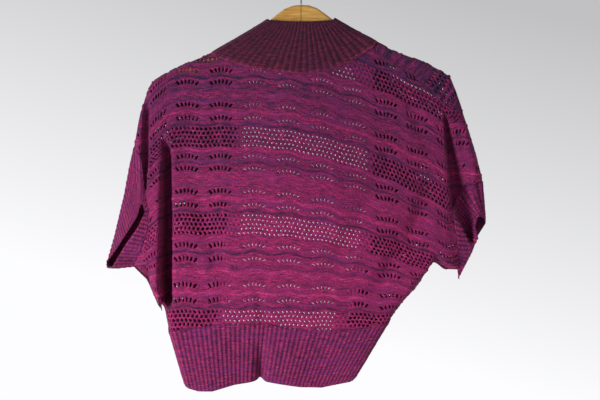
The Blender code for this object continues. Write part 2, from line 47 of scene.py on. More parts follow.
# Camera: level with the middle of the garment, behind its back.
LENS_MM = 60.0
CAMERA_DISTANCE = 1.48
CAMERA_HEIGHT = -0.363
NEAR_CLOTH_Y = -0.020
lens = bpy.data.cameras.new("camera")
lens.lens = LENS_MM
camera = bpy.data.objects.new("camera", lens)
camera.location = (-0.0015, NEAR_CLOTH_Y - CAMERA_DISTANCE, CAMERA_HEIGHT)
camera.rotation_euler = (math.pi / 2.0, 0.0, 0.0)
bpy.context.collection.objects.link(camera)
bpy.context.scene.camera = camera
bpy.context.scene.view_settings.view_transform = "Standard"


def linear(hex_colour):
    """Linear red, green, blue and alpha of an sRGB hex colour."""
    channels = [int(hex_colour[i:i + 2], 16) / 255.0 for i in (1, 3, 5)]
    return tuple(((c + 0.055) / 1.055) ** 2.4 if c > 0.04045 else c / 12.92
                 for c in channels) + (1.0,)


def add_node(tree, kind, inputs=None, **settings):
    """Adds one node: settings are its own, and each input gets a value or another node's output."""
    made = tree.nodes.new(kind)
    for key, value in settings.items():
        setattr(made, key, value)
    for key, value in (inputs or {}).items():
        if isinstance(value, bpy.types.NodeSocket):
            tree.links.new(value, made.inputs[key])
        else:
            made.inputs[key].default_value = value
    return made


def maths(tree, operation, *values):
    """The result of one Math node; a value may be another node's output."""
    return add_node(tree, "ShaderNodeMath", dict(enumerate(values)), operation=operation).outputs[0]


def stretched_noise(tree, place, stretch, **values):
    """A noise texture whose place is stretched along its axes, as its factor."""
    moved = add_node(tree, "ShaderNodeMapping", {"Vector": place, "Scale": stretch}).outputs[0]
    return add_node(tree, "ShaderNodeTexNoise", {"Vector": moved, **values}).outputs["Fac"]


def fill_ramp(ramp, shades):
    """Gives a colour ramp its keys, each a place and an sRGB hex colour."""
    keys = ramp.color_ramp.elements
    while len(keys) < len(shades):
        keys.new(0.5)
    for key, (place, shade) in zip(keys, shades):
        key.position = place
        key.color = linear(shade)


def new_material(name, **values):
    """A material with its Principled shader's values, as material, node tree and shader."""
    made = bpy.data.materials.new(name)
    made.use_nodes = True
    shader = made.node_tree.nodes["Principled BSDF"]
    for key, value in values.items():
        shader.inputs[key.replace("_", " ")].default_value = value
    return made, made.node_tree, shader


def add_object(name, points, faces, material):
    """A smooth mesh object of points and faces with one material."""
    mesh = bpy.data.meshes.new(name)
    mesh.from_pydata(np.asarray(points).tolist(), [], faces)
    mesh.update()
    made = bpy.data.objects.new(name, mesh)
    bpy.context.collection.objects.link(made)
    mesh.materials.append(material)
    mesh.shade_smooth()
    return made


# Floor: a plain pale studio floor well below the hem.
paper, tree, shader = new_material("studio_paper", Roughness=0.95)
shader.inputs["Base Color"].default_value = linear("#F0F0F0")
FLOOR_Z = -1.5
FLOOR_HALF = 4.0
corners = [(FLOOR_HALF * side, FLOOR_HALF * end, FLOOR_Z)
           for side, end in ((-1, -1), (1, -1), (1, 1), (-1, 1))]
floor = add_object("floor", corners, [(0, 1, 2, 3)], paper)

# Room: pale all round, white low down behind the garment and greyer above and to the right of it.
world = bpy.data.worlds.new("room")
bpy.context.scene.world = world
world.use_nodes = True
tree = world.node_tree
way = add_node(tree, "ShaderNodeTexCoord").outputs["Generated"]
parts = add_node(tree, "ShaderNodeSeparateXYZ", {"Vector": way})
rise = maths(tree, "MULTIPLY_ADD", parts.outputs["X"], 0.26, parts.outputs["Z"])
ramp = add_node(tree, "ShaderNodeMapRange", {"Value": rise, "From Min": -0.13, "From Max": 0.24,
                                             "To Min": 1.0, "To Max": 0.54})
behind = add_node(tree, "ShaderNodeMapRange", {"Value": parts.outputs["Y"], "From Min": -0.6,
                                               "From Max": 0.7, "To Min": 0.30, "To Max": 1.0})
room = maths(tree, "MULTIPLY", ramp.outputs[0], behind.outputs[0])
tree.nodes["Background"].inputs["Color"].default_value = linear("#FDFDFF")
tree.links.new(room, tree.nodes["Background"].inputs["Strength"])

# Lights: a broad soft one low on the left, in front of the garment's back, and two weak ones.
LIGHTS_AIM = np.array((0.0, 0.0, -0.36))
LIGHTS = [("key", (-1.35, -1.35, -0.55), 0.8, 27.0),
          ("fill", (0.5, -1.5, 0.6), 1.2, 2.5),
          ("front", (0.3, 1.6, 0.2), 1.4, 8.0)]
for name, place, size, watts in LIGHTS:
    lamp = bpy.data.lights.new(name, "AREA")
    lamp.energy = watts
    lamp.size = size
    made = bpy.data.objects.new(name, lamp)
    made.location = place
    toward = LIGHTS_AIM - np.array(place)
    yaw = math.atan2(toward[0], toward[1])
    pitch = math.atan2(np.hypot(toward[0], toward[1]), -toward[2])
    made.rotation_euler = (pitch, 0.0, -yaw)
    bpy.context.collection.objects.link(made)


# Hanger: a flat beech bar glued up from two halves, lacquered, and a plated wire hook.
# The solids have the right shape, so they get their finish here.
HALF_GLUE_LINE = 0.0006
wood, tree, shader = new_material("lacquered_beech", Roughness=0.38, Coat_Weight=0.25)
spot = add_node(tree, "ShaderNodeTexCoord").outputs["Object"]
grain = stretched_noise(tree, spot, (14.0, 90.0, 160.0), Scale=2.2, Detail=5.0, Distortion=0.6)
ramp = add_node(tree, "ShaderNodeValToRGB", {"Fac": grain})
fill_ramp(ramp, [(0.32, "#B9812F"), (0.70, "#E3B45C")])
across = add_node(tree, "ShaderNodeSeparateXYZ", {"Vector": spot}).outputs["X"]
glue = maths(tree, "LESS_THAN", maths(tree, "ABSOLUTE", across), HALF_GLUE_LINE)
wood_colour = add_node(tree, "ShaderNodeMix", {0: glue, 6: ramp.outputs["Color"],
                                               7: linear("#7A4A1C")}, data_type="RGBA")
tree.links.new(wood_colour.outputs[2], shader.inputs["Base Color"])
pores = add_node(tree, "ShaderNodeBump", {"Height": grain, "Strength": 0.15, "Distance": 0.0005})
tree.links.new(pores.outputs[0], shader.inputs["Normal"])

steel, tree, shader = new_material("plated_steel_wire", Metallic=1.0, Roughness=0.24)
shader.inputs["Base Color"].default_value = linear("#C9CACD")
rub = add_node(tree, "ShaderNodeTexNoise", {"Scale": 900.0, "Detail": 3.0}).outputs["Fac"]
worn = add_node(tree, "ShaderNodeMapRange", {"Value": rub, "To Min": 0.18, "To Max": 0.34})
tree.links.new(worn.outputs[0], shader.inputs["Roughness"])
for node_name, finish in (("hanger_bar", wood), ("hanger_hook", steel)):
    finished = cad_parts[node_name].data.materials
    finished.clear()
    finished.append(finish)


# The form the cloth hangs in: seams and depths as in the solids, but for the trough at the right cuff.
BAR_CLEARANCE = 0.0008
RIB_PITCH = 0.0064
COLLAR_PITCH = 0.0075
SEAM = 0.0003
EDGE_OFFSET = 0.0013
HANGER_HALF_THICKNESS = 0.006
HANGER_TILT = 0.020
SHOULDER_LIFT = 0.0027
SHOULDER_RADIUS = HANGER_HALF_THICKNESS + SHOULDER_LIFT
NECK_LEFT_X = -0.1376
NECK_RIGHT_X = 0.1170
NECK_LOW_Z = -0.1751
FRONT_WAIST_Z = -0.550
FRONT_HEM_Z = -0.634
COLLAR_TOP_Z = -0.0945
COLLAR_HALF_TOP = 0.050
SIDE_ROUND = 0.014
HEM_DEPTH_SHARE = 0.85
HEM_NOTCH_X = -0.0605
HEM_NOTCH_HALF_WIDTH = 0.006
HEM_NOTCH_DEPTH = 0.010
WING_START_X = 0.208
WING_SOFT_WIDTH = 0.040
WING_FLATTENING = 0.35
COLLAR_SAG = 0.003
BAND_END_SHARE = 1.22
LACE_THICKNESS = 0.0011
RIB_THICKNESS = 0.0014

# Top edge of the hanger: distance from its middle, height
HANGER_TOP = [(0.000, -0.0700), (0.012, -0.0712), (0.024, -0.0755), (0.036, -0.0840),
              (0.046, -0.0920), (0.080, -0.1120), (0.1376, -0.1443), (0.172, -0.1576),
              (0.192, -0.1665), (0.208, -0.1750), (0.224, -0.1855)]
# How far the cloth stands out from the hanger: distance below the shoulder line, extra depth
BODY_DEPTH = [(0.000, 0.000), (0.0084, 0.000), (0.107, 0.007), (0.200, 0.022), (0.300, 0.033),
              (0.450, 0.034)]

# Waist seam: x, z
WAIST_SEAM = [(-0.1968, -0.5554), (-0.111, -0.5436), (-0.0488, -0.5436), (-0.0015, -0.5525),
              (0.0725, -0.5525), (0.1100, -0.5470), (0.1317, -0.5415)]
# Hem of the waistband: x, z
HEM = [(-0.173, -0.637), (-0.150, -0.643), (-0.130, -0.643), (-0.098, -0.634), (-0.066, -0.629),
       (-0.0605, -0.625), (-0.052, -0.629), (-0.0015, -0.637), (0.030, -0.638), (0.080, -0.627)]

# Side edges of the panels, top to bottom: share of the way down, x, z, y. Back and front part at the
# sleeve's mouth, and share their rows above and below it.
LEFT_TOP = [(0.00, -0.2235, -0.1873, 0.000), (0.06, -0.2309, -0.2032, 0.000),
            (0.16, -0.2412, -0.2343, 0.000), (0.28, -0.2501, -0.2831, 0.000)]
LEFT_FOOT = [(0.66, -0.2501, -0.4617, 0.000), (0.69, -0.2390, -0.4612, 0.000),
             (0.73, -0.2279, -0.4600, 0.000), (0.78, -0.2279, -0.4740, 0.000),
             (0.84, -0.2205, -0.5022, 0.000), (0.90, -0.2042, -0.5184, 0.000),
             (1.00, -0.1968, -0.5554, 0.000)]
RIGHT_TOP = [(0.00, 0.2235, -0.1784, 0.000), (0.05, 0.2324, -0.2002, 0.000),
             (0.16, 0.2457, -0.2417, 0.000), (0.28, 0.2605, -0.2890, 0.000),
             (0.38, 0.2723, -0.3349, 0.000)]
RIGHT_FOOT = [(0.66, 0.2353, -0.4660, 0.000), (0.69, 0.2146, -0.4655, 0.000),
              (0.73, 0.1975, -0.4520, 0.000), (0.79, 0.1850, -0.4720, 0.000),
              (0.86, 0.1702, -0.4933, 0.000), (0.93, 0.1524, -0.5125, 0.000),
              (1.00, 0.1317, -0.5415, 0.000)]
BACK_LEFT = LEFT_TOP + [(0.33, -0.2383, -0.2994, -0.012), (0.42, -0.2338, -0.3453, -0.014),
                        (0.48, -0.2250, -0.3808, -0.022), (0.54, -0.2264, -0.4074, -0.026),
                        (0.60, -0.2353, -0.4341, -0.024)] + LEFT_FOOT
BACK_RIGHT = RIGHT_TOP + [(0.42, 0.2472, -0.3408, 0.002), (0.46, 0.2353, -0.3586, 0.008),
                          (0.50, 0.2235, -0.3793, -0.022), (0.55, 0.2279, -0.4148, -0.028),
                          (0.60, 0.2324, -0.4400, -0.026)] + RIGHT_FOOT
FRONT_LEFT = LEFT_TOP + [(0.33, -0.2575, -0.3112, 0.004), (0.42, -0.2664, -0.3556, 0.008),
                         (0.54, -0.2812, -0.4163, 0.012), (0.60, -0.2915, -0.4548, 0.012),
                         (0.635, -0.2797, -0.4652, 0.006)] + LEFT_FOOT
FRONT_RIGHT = RIGHT_TOP + [(0.44, 0.2694, -0.3556, 0.011), (0.52, 0.2620, -0.3852, 0.017),
                           (0.59, 0.2516, -0.4222, 0.016), (0.64, 0.2398, -0.4518, 0.003)] + RIGHT_FOOT

# Front band: share of the way down, x of its seam, x of its free edge
BAND_LEFT = [(0.00, -0.1376, -0.050), (0.10, -0.150, -0.072), (0.22, -0.165, -0.086),
             (0.35, -0.172, -0.090), (0.60, -0.172, -0.090), (0.85, -0.178, -0.110),
             (1.00, -0.182, -0.122), (BAND_END_SHARE, -0.1606, -0.104)]
BAND_RIGHT = [(0.00, 0.1170, 0.050), (0.10, 0.136, 0.072), (0.22, 0.162, 0.096),
              (0.35, 0.178, 0.102), (0.60, 0.174, 0.102), (0.78, 0.150, 0.084),
              (1.00, 0.116, 0.052), (BAND_END_SHARE, 0.0640, 0.010)]

# Free rims of the cuffs, by the place on the seam: layer, share of the way down, x, z, y
CUFF_LEFT = [("back", 0.28, -0.2412, -0.3808, -0.018), ("back", 0.33, -0.2383, -0.3705, -0.020),
             ("back", 0.42, -0.2338, -0.3690, -0.022), ("back", 0.48, -0.2301, -0.3808, -0.026),
             ("back", 0.54, -0.2398, -0.4030, -0.031), ("back", 0.60, -0.2590, -0.4297, -0.029),
             ("back", 0.66, -0.2797, -0.4625, -0.019), ("front", 0.635, -0.2890, -0.4640, -0.012),
             ("front", 0.60, -0.2910, -0.4560, -0.003), ("front", 0.54, -0.2726, -0.4320, -0.010),
             ("front", 0.42, -0.2500, -0.3980, -0.014), ("front", 0.33, -0.2440, -0.3880, -0.016)]
CUFF_RIGHT = [("back", 0.38, 0.2753, -0.3912, -0.005), ("back", 0.42, 0.2680, -0.3872, -0.010),
              ("back", 0.46, 0.2610, -0.3882, -0.012), ("back", 0.50, 0.2580, -0.4030, -0.018),
              ("back", 0.55, 0.2605, -0.4193, -0.022), ("back", 0.60, 0.2531, -0.4400, -0.021),
              ("back", 0.66, 0.2353, -0.4814, -0.004), ("front", 0.64, 0.2440, -0.4640, 0.006),
              ("front", 0.59, 0.2570, -0.4350, 0.013), ("front", 0.52, 0.2690, -0.4150, 0.014),
              ("front", 0.44, 0.2782, -0.3986, 0.008)]
CUFF_SPAN = {"left": (0.28, 0.66), "right": (0.38, 0.66)}

# Shallow folds of the back: top x, top z, low x, low z, half width, share of the depth, soft end
BACK_FOLDS = [(-0.1700, -0.300, -0.1100, -0.500, 0.0150, 0.12, 0.060),
              (0.1900, -0.360, 0.1000, -0.520, 0.0140, 0.20, 0.060),
              (0.1300, -0.300, 0.0300, -0.500, 0.0160, 0.12, 0.080)]


def column(table, index):
    """One column of a table."""
    return [row[index] for row in table]


def read_table(table, place, index=1):
    """A column of a table at a place in its first column, on the straight line between two rows."""
    return np.interp(place, column(table, 0), column(table, index))


def hanger_top(x):
    """Height of the bar's top edge at x, with the slight tilt that it hangs at."""
    return read_table(HANGER_TOP, np.abs(x)) + HANGER_TILT * x


def shoulder_line(x):
    """Height of the cloth's outer face where it lies on the hanger."""
    return hanger_top(x) + SHOULDER_LIFT


def quarter_round(share):
    """Rises from 0 to 1 along a quarter of a circle."""
    kept = np.clip(share, 0.0, 1.0)
    return np.sqrt(1.0 - (1.0 - kept) ** 2)


def soft_step(share):
    """Rises from 0 to 1 with level ends."""
    kept = np.clip(share, 0.0, 1.0)
    return kept * kept * (3.0 - 2.0 * kept)


def body_depth(x, z):
    """Distance of the cloth from the plane of the hanger: round over the bar, then fuller below."""
    below = shoulder_line(x) - z
    return SHOULDER_RADIUS * quarter_round(below / SHOULDER_RADIUS) + read_table(BODY_DEPTH, below)


def wing_depth(x, z):
    """The same distance, smaller beyond the hanger's ends, where the sleeves hang flatter."""
    flatter = WING_FLATTENING * soft_step((np.abs(x) - WING_START_X) / WING_SOFT_WIDTH)
    return body_depth(x, z) * (1.0 - flatter)


def neck_line(x):
    """Height of the back neck seam: a parabola for each half."""
    left_rise = (shoulder_line(NECK_LEFT_X) - NECK_LOW_Z) * (x / NECK_LEFT_X) ** 2
    right_rise = (shoulder_line(NECK_RIGHT_X) - NECK_LOW_Z) * (x / NECK_RIGHT_X) ** 2
    return NECK_LOW_Z + np.where(x < 0.0, left_rise, right_rise)


def back_top(x):
    """Top edge of the back: the shoulders on the hanger and the neck seam between them."""
    in_neck = (x > NECK_LEFT_X) & (x < NECK_RIGHT_X)
    return np.where(in_neck, neck_line(x), shoulder_line(x))


def fold_share(x, z, folds):
    """Share of the depth that the folds take: each a soft trough along a line, fading at its ends."""
    push = np.zeros_like(x)
    for top_x, top_z, low_x, low_z, half_width, depth, soft in folds:
        middle = np.interp(-z, [-top_z, -low_z], [top_x, low_x])
        window = soft_step((top_z + soft - z) / soft) * soft_step((z - low_z) / soft)
        push = push + depth * window * np.exp(-((x - middle) / half_width) ** 2)
    return push


def unit(vectors):
    """Vectors of length one."""
    return vectors / np.maximum(np.linalg.norm(vectors, axis=-1, keepdims=True), 1e-12)


def grid_normals(grid, outward):
    """Normals of a grid of points, turned to the side that outward names."""
    across = np.gradient(grid, axis=1)
    down = np.gradient(grid, axis=0)
    return unit(np.cross(down, across)) * outward


# Yarn: a space-dyed cotton blend in magenta, hot pink, plum and navy, knitted in its own stripes.
COURSE = 0.0032
WALE = 0.0032
FLECK_PULL = 0.76


def yarn(name, shades, violet, tone_pull, fuzz):
    """Knit fabric from short streaks along each course, flecks, stitch loops and a soft fuzz.

    shades are places on the ramp and colours, and violet is the shade of the dyed lengths between
    them; tone_pull is how far the tone attribute moves the place.
    """
    made, tree, shader = new_material(name, Roughness=0.86, Sheen_Weight=fuzz, Sheen_Roughness=0.4)
    shader.inputs["Specular IOR Level"].default_value = 0.35
    flat = add_node(tree, "ShaderNodeUVMap", uv_map="stitches").outputs[0]
    tone = add_node(tree, "ShaderNodeAttribute", attribute_name="tone").outputs["Fac"]
    streak = stretched_noise(tree, flat, (75.0, 420.0, 1.0), Scale=1.0, Detail=3.0, Roughness=0.7,
                             Distortion=0.2)
    fleck = stretched_noise(tree, flat, (420.0, 640.0, 1.0), Scale=1.0, Detail=2.0)
    pulled = maths(tree, "MULTIPLY_ADD", tone, tone_pull, streak)
    speckled = maths(tree, "MULTIPLY_ADD", fleck, FLECK_PULL, pulled)
    centred = maths(tree, "SUBTRACT", speckled, FLECK_PULL / 2.0)
    ramp = add_node(tree, "ShaderNodeValToRGB", {"Fac": centred})
    fill_ramp(ramp, shades)
    dye = stretched_noise(tree, flat, (11.0, 130.0, 1.0), Scale=1.0, Detail=2.0)
    bluer = add_node(tree, "ShaderNodeMapRange", {"Value": dye, "From Min": 0.50, "From Max": 0.66,
                                                  "To Min": 0.0, "To Max": 0.45})
    dyed = add_node(tree, "ShaderNodeMix", {0: bluer.outputs[0], 6: ramp.outputs["Color"],
                                            7: linear(violet)}, data_type="RGBA")
    tree.links.new(dyed.outputs[2], shader.inputs["Base Color"])
    parts = add_node(tree, "ShaderNodeSeparateXYZ", {"Vector": flat})
    wale = maths(tree, "PINGPONG", parts.outputs["X"], WALE / 2.0)
    slope = maths(tree, "MULTIPLY_ADD", wale, 0.8, parts.outputs["Y"])
    loop = maths(tree, "SINE", maths(tree, "MULTIPLY", slope, 4.0 * math.pi / COURSE))
    height = maths(tree, "MULTIPLY_ADD", fleck, 1.4, loop)
    stitches = add_node(tree, "ShaderNodeBump", {"Height": height, "Strength": 0.55,
                                                 "Distance": 0.0005})
    tree.links.new(stitches.outputs[0], shader.inputs["Normal"])
    return made


LACE_SHADES = [(0.20, "#22153C"), (0.33, "#4C1A4A"), (0.45, "#781F53"), (0.56, "#992261"),
               (0.68, "#BC296F"), (0.84, "#DC4C90")]
# The collar's shades: the ribs' colours painted darker, as shade; the front bands use them too.
COLLAR_SHADES_PAINTED_DARK = [(0.22, "#200E20"), (0.36, "#40122B"), (0.50, "#5E1838"), (0.66, "#7C2148"),
                 (0.84, "#A63A62")]
RIB_SHADES = [(0.20, "#2B173E"), (0.36, "#621E54"), (0.50, "#942662"), (0.64, "#BC306C"),
              (0.82, "#E05288")]


def finish_cloth(name, points, faces, uv, tone, material, slot_name, node_name, thickness):
    """A knitted piece as a thin shell: its stitch coordinates, tones and body; slot_name is not used."""
    made = add_object(name, points, faces, material)
    mesh = made.data
    corners = np.empty(len(mesh.loops), dtype=np.int64)
    mesh.loops.foreach_get("vertex_index", corners)
    layer = mesh.uv_layers.new(name="stitches")
    layer.data.foreach_set("uv", np.asarray(uv)[corners].astype(np.float32).ravel())
    shade = mesh.attributes.new("tone", "FLOAT", "POINT")
    shade.data.foreach_set("value", np.asarray(tone, dtype=np.float32))
    shell = made.modifiers.new("thickness", "SOLIDIFY")
    shell.thickness = thickness
    shell.offset = -1.0
    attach(made, "root")
    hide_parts(node_name)
    return made


def crease_push(x, z, creases):
    """Depth of small soft creases: each a rounded trough along a line, fading at both ends.

    A row holds top x, top z, low x, low z, half width and depth; below zero it is a ridge.
    """
    push = np.zeros_like(x)
    for top_x, top_z, low_x, low_z, half_width, depth in creases:
        way = np.array((low_x - top_x, low_z - top_z))
        length = np.hypot(*way)
        way = way / length
        along = (x - top_x) * way[0] + (z - top_z) * way[1]
        beside = (x - top_x) * way[1] - (z - top_z) * way[0]
        fade = soft_step(along / (0.3 * length)) * soft_step((length - along) / (0.3 * length))
        push = push + depth * fade * np.exp(-(beside / half_width) ** 2)
    return push


# Lace: bands of five eyelet rows, and between them garter ridges and two pairs of fan rows.
# Each zone is its kind and its row heights, from the top of one repeat to its foot. An eyelet's sizes
# are its half width when open, what that loses when shut, and the same of its half height.
REPEAT = [("mesh", [0.0032] * 10), ("ridge", [0.0036] * 2),
          ("fan", [0.0024, 0.0042, 0.0042, 0.0024]), ("dark", [0.0024] * 2),
          ("fan", [0.0024, 0.0042, 0.0042, 0.0024]), ("plain", [0.0041] * 5),
          ("fan", [0.0024, 0.0042, 0.0042, 0.0024]), ("ridge", [0.0033] * 2),
          ("fan", [0.0024, 0.0042, 0.0042, 0.0024]), ("dark", [0.0024] * 2)]
SECOND_BAND_Z = -0.2535
REPEATS_ABOVE = 2
FAN_COLUMNS = 16
FAN_MIDDLE_COLUMN = -9
ORIGIN_X = -0.0903
PANEL_SPAN = (-0.300, 0.285)
WAVE_HEIGHT = 0.0021
FAN_SQUEEZE = 0.0015
ZONE_TONE = {"mesh": 0.10, "ridge": 0.85, "fan": 0.05, "dark": -1.0, "plain": 0.25}
ZONE_WAVE = {"mesh": 0.35, "ridge": 0.8, "fan": 1.0, "dark": 1.0, "plain": 0.9}
EYELET_SIZES = {"mesh": (0.58, 0.46, 0.76, 0.48), "fan": (0.50, 0.46, 0.88, 0.56)}
ZONE_RELIEF = {"mesh": 0.0, "ridge": 0.0012, "fan": 0.0002, "dark": -0.0005, "plain": 0.0003}
EDGE_SLACK = 0.0006
CORNER_SHARE = 0.74
RIM_DIP = 0.0003
SHUT_QUITE = 0.95
BLOCK = [(-1, -1), (0, -1), (1, -1), (1, 0), (1, 1), (0, 1), (-1, 1), (-1, 0)]


def lace_rows(raised):
    """Every row line of the lace: height where courses hang level, zone, place in it, rows in it."""
    lines = []
    height = SECOND_BAND_Z + raised + REPEATS_ABOVE * sum(sum(heights) for _, heights in REPEAT)
    for turn in range(REPEATS_ABOVE + 3):
        longer = 1.0 if turn < REPEATS_ABOVE + 1 else 1.12
        for kind, heights in REPEAT:
            for place, step in enumerate(heights):
                lines.append((height, kind, place, len(heights)))
                height -= step * (longer if kind != "mesh" else 1.0)
    return lines


def course_droop(x, level_z):
    """How far a course has slid down at x: more towards both sleeves, less near the waist."""
    right = 0.0918 * np.clip((x - ORIGIN_X) / 0.3064, 0.0, 1.0) ** 1.9
    left = 0.0415 * np.clip((-0.191 - x) / 0.040, 0.0, 1.0) ** 1.3
    weight = np.interp(-level_z, [0.286, 0.4015, 0.5288, 0.5554], [1.0, 0.75, 0.12, 0.0])
    return (right + left) * weight


def cut_lace(grid, normals, numbers, fall, tone, eyelets, outward):
    """Points, faces, stitch places and tones of a grid of cells with eyelets in it.

    An eyelet turns four cells into a ring of eight about a hole, which is rounded at its corners.
    It gives its row, column, half width, half height and lean, the last three as shares of a cell.
    Where the fabric is gathered or stretched too much there is none.
    """
    rows, count = grid.shape[:2]
    points = list(grid.reshape(-1, 3))
    uv = [(number * WALE, height) for height in fall for number in numbers]
    tones = list(tone.ravel())
    cut = np.zeros((rows - 1, count - 1), dtype=bool)
    faces = []
    for row, column, wide, tall, lean in eyelets:
        if not (0 < row < rows - 1 and 0 < column < count - 1):
            continue
        if cut[row - 1:row + 1, column - 1:column + 1].any():
            continue
        block = grid[row - 1:row + 2, column - 1:column + 2]
        sides = np.linalg.norm(np.diff(block, axis=1), axis=2)
        drops = np.linalg.norm(np.diff(block, axis=0), axis=2)
        gathered = sides.min() < 0.5 * WALE or drops.min() < 0.3 * COURSE
        if gathered or sides.max() > 2.5 * WALE:
            continue
        cut[row - 1:row + 1, column - 1:column + 1] = True
        right_way = (block[1, 2] - block[1, 0]) / 2.0
        down_way = (block[2, 1] - block[0, 1]) / 2.0
        start = len(points)
        for down, beside in BLOCK:
            kept = CORNER_SHARE if down and beside else 1.0
            points.append(block[1, 1] + right_way * (beside * wide * kept + lean * down)
                          + down_way * down * tall * kept - normals[row, column] * RIM_DIP)
            uv.append(((numbers[column] + beside * wide) * WALE, fall[row] - down * tall * COURSE))
            tones.append(tone[row, column] + 0.15)
        for k in range(8):
            after = (k + 1) % 8
            outer = [(row + BLOCK[i][0]) * count + column + BLOCK[i][1] for i in (k, after)]
            faces.append((outer[0], outer[1], start + after, start + k))
    for row in range(rows - 1):
        for column in range(count - 1):
            if not cut[row, column]:
                corner = row * count + column
                faces.append((corner, corner + count, corner + count + 1, corner + 1))
    points = np.array(points)
    kept_faces = []
    for face in faces:
        a, b, c, d = points[list(face)]
        if np.linalg.norm(np.cross(c - a, d - b)) > 0.10 * WALE * COURSE:
            kept_faces.append(face if outward < 0.0 else tuple(reversed(face)))
    used = np.unique(np.concatenate([np.array(face) for face in kept_faces]))
    index = np.full(len(points), -1)
    index[used] = np.arange(len(used))
    kept_faces = [tuple(int(index[i]) for i in face) for face in kept_faces]
    return points[used], kept_faces, np.array(uv)[used], np.array(tones)[used]


def lace_sheet(depth, top, low, left, right, home, columns, outward, raised, painted_light_by_height, plain):
    """Points, faces, stitch places and tones of one lace panel.

    Each row is a course. Its height at x is the level height less the droop, plus a cosine wave that
    crests at each fan, kept between the panel's low and top edges. Columns stand a wale apart along
    the course's own length, measured from home, so the fabric isn't stretched where it folds.
    low, top, left and right are the panel's edges, painted_light_by_height adds painted light and shade
    to the tone by height, and plain says how far eyelets are drawn shut at a place, up to 1 where the
    cloth is folded in deep.
    """
    dense = np.linspace(*PANEL_SPAN, 1500)
    dense_phase = 2.0 * math.pi * ((dense - ORIGIN_X) / WALE - FAN_MIDDLE_COLUMN) / FAN_COLUMNS
    numbers = np.arange(columns[0], columns[1] + 1)
    phase = 2.0 * math.pi * (numbers - FAN_MIDDLE_COLUMN) / FAN_COLUMNS
    lines = lace_rows(raised)
    grid, relief, tone, fall = [], [], [], []
    for level_z, kind, place, size in lines:
        strength = ZONE_WAVE[kind]
        z = level_z - course_droop(dense, level_z) + WAVE_HEIGHT * strength * np.cos(dense_phase)
        z = np.clip(z, low(dense), np.maximum(top(dense), low(dense)))
        y = depth(dense, z)
        inside = (dense >= left(z) - EDGE_SLACK) & (dense <= right(z) + EDGE_SLACK)
        spot = int(np.argmin(np.abs(dense - home(level_z))))
        good = np.flatnonzero(inside)
        if len(good) == 0:
            good = np.array([spot, spot + 1])
        spot = int(good[np.argmin(np.abs(good - spot))])
        breaks = np.flatnonzero(~inside)
        first = breaks[breaks < spot].max() + 1 if np.any(breaks < spot) else 0
        last = breaks[breaks > spot].min() - 1 if np.any(breaks > spot) else len(dense) - 1
        ends_x = np.array([left(z)[first], right(z)[last]])
        ends_z = z[[first, last]]
        ends = np.stack([ends_x, depth(ends_x, ends_z), ends_z], axis=1)
        inner = np.stack([dense, y, z], axis=1)[first:last + 1]
        track = np.vstack([ends[:1], inner, ends[1:]])
        steps = np.linalg.norm(np.diff(track, axis=0), axis=1)
        length = np.concatenate([[0.0], np.cumsum(steps)])
        length = length - length[spot - first + 1]
        reach = numbers * WALE - FAN_SQUEEZE * strength * np.sin(phase)
        grid.append(np.stack([np.interp(reach, length, track[:, k]) for k in range(3)], axis=1))
        middle = math.sin(math.pi * place / size)
        relief.append(ZONE_RELIEF[kind] * middle + 0.0001 * chance.standard_normal(len(numbers)))
        band = ZONE_TONE[kind] * (0.2 + 0.8 * middle) + 0.18 * chance.standard_normal()
        # Painted light and shade: the tone is made darker or lighter by the height of each point.
        tone.append(band + painted_light_by_height(grid[-1][:, 2]))
        fall.append(level_z)
    grid, relief, tone = np.stack(grid), np.stack(relief), np.stack(tone)
    normals = grid_normals(grid, 1.0)
    normals = normals * np.sign(np.sum(normals * (0.0, outward, 0.0), axis=2, keepdims=True) + 1e-9)
    grid = grid + normals * relief[..., None]
    eyelets = []
    for row, (level_z, kind, place, size) in enumerate(lines):
        for column, number in enumerate(numbers):
            shut = plain(grid[row, column, 0], grid[row, column, 2])
            across = (number - FAN_MIDDLE_COLUMN + FAN_COLUMNS // 2) % FAN_COLUMNS - FAN_COLUMNS // 2
            if shut > SHUT_QUITE:
                continue
            play = 1.0 + 0.13 * chance.standard_normal()
            if kind == "mesh" and place % 2 == 1 and (number + place // 2) % 2 == 0:
                lean = (0.16 if place % 4 == 1 else -0.10) + 0.04 * chance.standard_normal()
            elif kind == "fan" and place == 2 and across % 2 == 1 and abs(across) <= 5:
                lean = -0.10 * across
            else:
                continue
            wide, less_wide, tall, less_tall = EYELET_SIZES[kind]
            wide = (wide - less_wide * shut) * play
            eyelets.append((row, column, wide, tall - less_tall * shut, lean))
    return cut_lace(grid, normals, numbers, fall, tone, eyelets, outward)


def edge_by_height(table, value):
    """A function of height from one column of an edge table, its heights made to fall."""
    heights = np.minimum.accumulate(np.array(column(table, 2))) - 1e-5 * np.arange(len(table))
    values = np.array(column(table, value))
    return lambda z: np.interp(-z, -heights, values)


# Back: one lace panel with the back halves of both sleeves grown on to it.
# It hangs in a deep trough beside each sleeve, and soft creases run down from the shoulders.
BACK_CREASES = [(-0.150, -0.190, -0.186, -0.330, 0.010, 0.0030),
                (-0.120, -0.215, -0.150, -0.420, 0.013, 0.0020),
                (0.150, -0.190, 0.196, -0.300, 0.010, 0.0028),
                (0.185, -0.330, 0.150, -0.480, 0.010, 0.0035),
                (0.160, -0.380, 0.090, -0.520, 0.011, 0.0030),
                (0.110, -0.430, 0.050, -0.540, 0.012, 0.0022),
                (-0.170, -0.420, -0.120, -0.540, 0.010, 0.0022),
                (-0.060, -0.490, -0.058, -0.548, 0.007, 0.0030),
                (0.030, -0.240, 0.060, -0.400, 0.016, -0.0018),
                (-0.040, -0.260, -0.030, -0.430, 0.018, -0.0015),
                (0.2420, -0.225, 0.2660, -0.370, 0.0090, -0.0065)]
back_left_x = edge_by_height(BACK_LEFT, 1)
back_right_x = edge_by_height(BACK_RIGHT, 1)
back_left_y = edge_by_height(BACK_LEFT, 3)
back_right_y = edge_by_height(BACK_RIGHT, 3)
